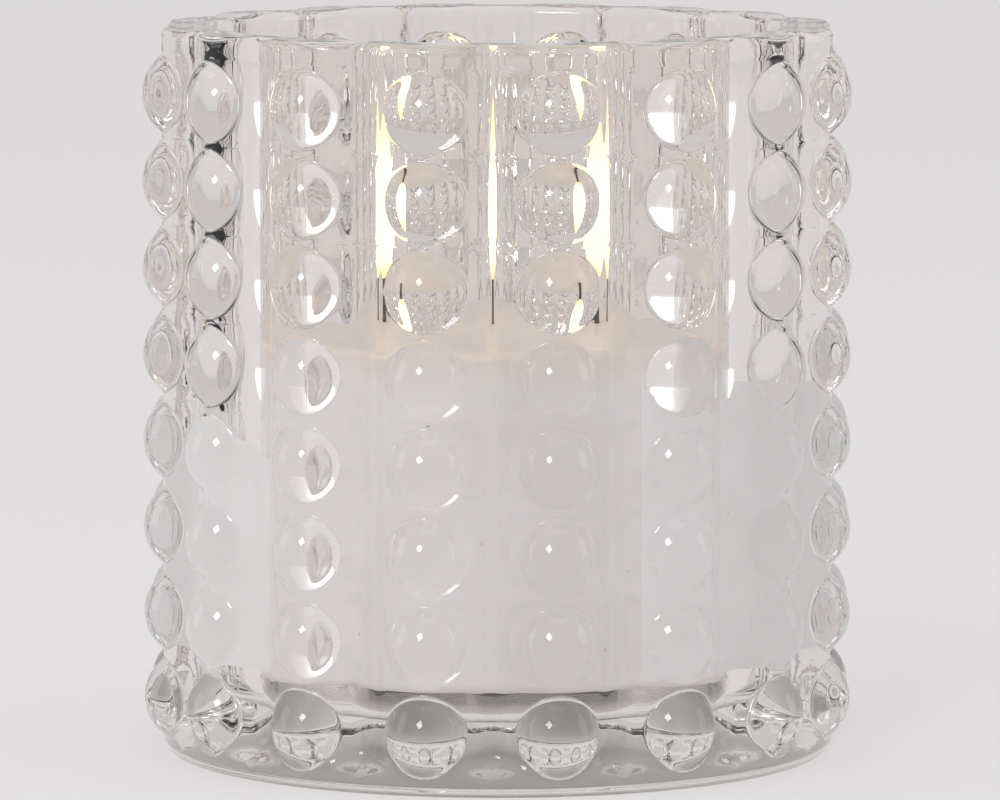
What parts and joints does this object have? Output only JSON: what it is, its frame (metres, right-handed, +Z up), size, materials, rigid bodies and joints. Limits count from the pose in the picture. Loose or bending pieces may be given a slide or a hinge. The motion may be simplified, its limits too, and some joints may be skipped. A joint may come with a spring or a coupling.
{
  "type": "tealight holder",
  "caption": "Round hobnail glass candle holder with upright ribs of beads, holding a lift-out wax drum candle with a battery-lit flame on a black wick.",
  "frame": {"origin": "centre of the glass foot, on the surface that the holder stands on", "axes": "+Z up along the axis of the glass; one column of beads faces -Y"},
  "size_m": [0.0786, 0.0786, 0.08],
  "materials": {
    "clear_glass": "clear pressed glass, fire polished",
    "wax": "white paraffin wax, satin",
    "black_plastic": "matt black",
    "flame_plastic": "translucent, frosted, lit warm white",
    "white_board": "white solder mask",
    "lamp_phosphor": "warm white lamp chip",
    "charcoal_plastic": "spark-eroded charcoal texture",
    "natural_plastic": "moulded, natural white",
    "screw_steel": "zinc plated",
    "cell_steel": "bright rolled steel",
    "contact_brass": "spring phosphor bronze",
    "green_board": "glass-fibre board with green mask",
    "chip_black": "moulded epoxy",
    "tinned_metal": "tinned",
    "capacitor_tan": "ceramic chip",
    "red_enamel": "enamelled wire"
  },
  "bodies": {
    "glass": {"glass_holder": "clear_glass"},
    "candle": {"wax_shell": "wax", "wick_tube": "black_plastic", "flame_shell": "flame_plastic", "led_board": "white_board", "led_chips": "lamp_phosphor", "base_housing": "charcoal_plastic", "inner_housing": "natural_plastic", "housing_screws": "screw_steel", "coin_cell": "cell_steel", "positive_contact": "contact_brass", "negative_contact": "contact_brass", "circuit_board": "green_board", "control_chip": "chip_black", "chip_leads": "tinned_metal", "timer_crystal": "tinned_metal", "chip_resistors": "chip_black", "chip_capacitor": "capacitor_tan", "switch_body": "tinned_metal", "lead_red": "red_enamel", "lead_black": "black_plastic"},
    "cover": {"battery_cover": "charcoal_plastic"},
    "knob": {"switch_knob": "black_plastic"}
  },
  "joints": [
    {"name": "candle_lift", "type": "slide", "parent": "glass", "child": "candle", "axis": [0, 0, 1], "range_m": [0, 0.095]},
    {"name": "cover_turn", "type": "hinge", "parent": "candle", "child": "cover", "pos_m": [0, 0, 0.0085], "axis": [0, 0, 1], "range_deg": [0, 45]},
    {"name": "switch_slide", "type": "slide", "parent": "candle", "child": "knob", "axis": [1, 0, 0], "range_m": [0, 0.002]}
  ]
}
